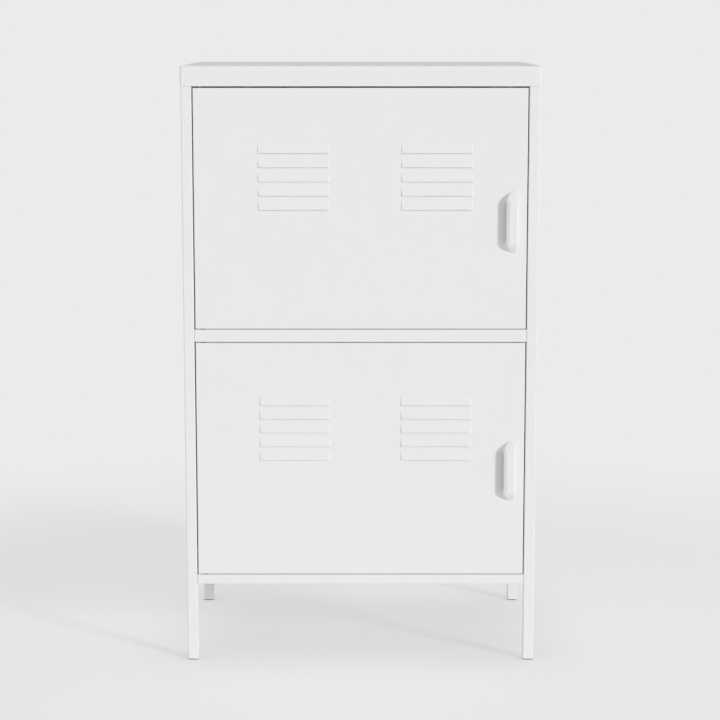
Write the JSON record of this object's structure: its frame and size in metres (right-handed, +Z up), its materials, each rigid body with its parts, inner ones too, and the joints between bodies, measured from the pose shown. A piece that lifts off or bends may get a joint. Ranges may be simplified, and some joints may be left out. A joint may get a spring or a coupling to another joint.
{
  "type": "locker cabinet",
  "caption": "White sheet-steel locker cabinet on slim square legs, with stacked louvred doors, cup handles, pin pivots, magnetic catches and a lid-like cap.",
  "frame": {"origin": "on the surface the cabinet stands on, under the middle of its whole outline, handles included", "axes": "+Z up, -Y out of the front with the doors, +X to the right as seen from the front"},
  "size_m": [0.6, 0.413, 1.02],
  "materials": {
    "white_paint": "white powder coat, satin",
    "zinc_plate": "bright zinc plating",
    "white_plastic": "moulded white plastic, fine texture",
    "grey_nylon": "moulded grey nylon",
    "dark_rubber": "moulded black rubber, matt",
    "magnet_steel": "ground magnet with steel cheeks"
  },
  "bodies": {
    "cabinet": {"front_left_post": "white_paint", "front_left_foot_plug": "grey_nylon", "front_right_post": "white_paint", "front_right_foot_plug": "grey_nylon", "rear_left_post": "white_paint", "rear_left_foot_plug": "grey_nylon", "rear_right_post": "white_paint", "rear_right_foot_plug": "grey_nylon", "left_side_panel": "white_paint", "right_side_panel": "white_paint", "back_panel": "white_paint", "top_cap": "white_paint", "middle_shelf": "white_paint", "bottom_shelf": "white_paint", "front_left_bottom_screw": "zinc_plate", "front_left_middle_screw": "zinc_plate", "front_left_cap_screw": "zinc_plate", "front_right_bottom_screw": "zinc_plate", "front_right_middle_screw": "zinc_plate", "front_right_cap_screw": "zinc_plate", "rear_left_bottom_screw": "zinc_plate", "rear_left_middle_screw": "zinc_plate", "rear_left_cap_screw": "zinc_plate", "rear_right_bottom_screw": "zinc_plate", "rear_right_middle_screw": "zinc_plate", "rear_right_cap_screw": "zinc_plate", "upper_door_top_pin": "zinc_plate", "upper_door_bottom_pin": "zinc_plate", "upper_catch_housing": "white_plastic", "upper_catch_magnet": "magnet_steel", "upper_catch_left_screw": "zinc_plate", "upper_catch_right_screw": "zinc_plate", "upper_door_stop_strip": "white_paint", "upper_door_bottom_buffer": "dark_rubber", "upper_door_top_buffer": "dark_rubber", "lower_door_top_pin": "zinc_plate", "lower_door_bottom_pin": "zinc_plate", "lower_catch_housing": "white_plastic", "lower_catch_magnet": "magnet_steel", "lower_catch_left_screw": "zinc_plate", "lower_catch_right_screw": "zinc_plate", "lower_door_stop_strip": "white_paint", "lower_door_bottom_buffer": "dark_rubber", "lower_door_top_buffer": "dark_rubber"},
    "upper_door": {"upper_door_skin": "white_paint", "upper_door_stiffener": "white_paint", "upper_door_bottom_bush": "grey_nylon", "upper_door_top_bush": "grey_nylon", "upper_door_handle": "white_paint", "upper_handle_bottom_screw": "zinc_plate", "upper_handle_top_screw": "zinc_plate"},
    "lower_door": {"lower_door_skin": "white_paint", "lower_door_stiffener": "white_paint", "lower_door_bottom_bush": "grey_nylon", "lower_door_top_bush": "grey_nylon", "lower_door_handle": "white_paint", "lower_handle_bottom_screw": "zinc_plate", "lower_handle_top_screw": "zinc_plate"}
  },
  "joints": [
    {"name": "upper_door_hinge", "type": "hinge", "parent": "cabinet", "child": "upper_door", "pos_m": [-0.2672, -0.1865, 0.78135], "axis": [0, 0, -1], "range_deg": [0, 130]},
    {"name": "lower_door_hinge", "type": "hinge", "parent": "cabinet", "child": "lower_door", "pos_m": [-0.2672, -0.1865, 0.35415], "axis": [0, 0, -1], "range_deg": [0, 130]}
  ]
}
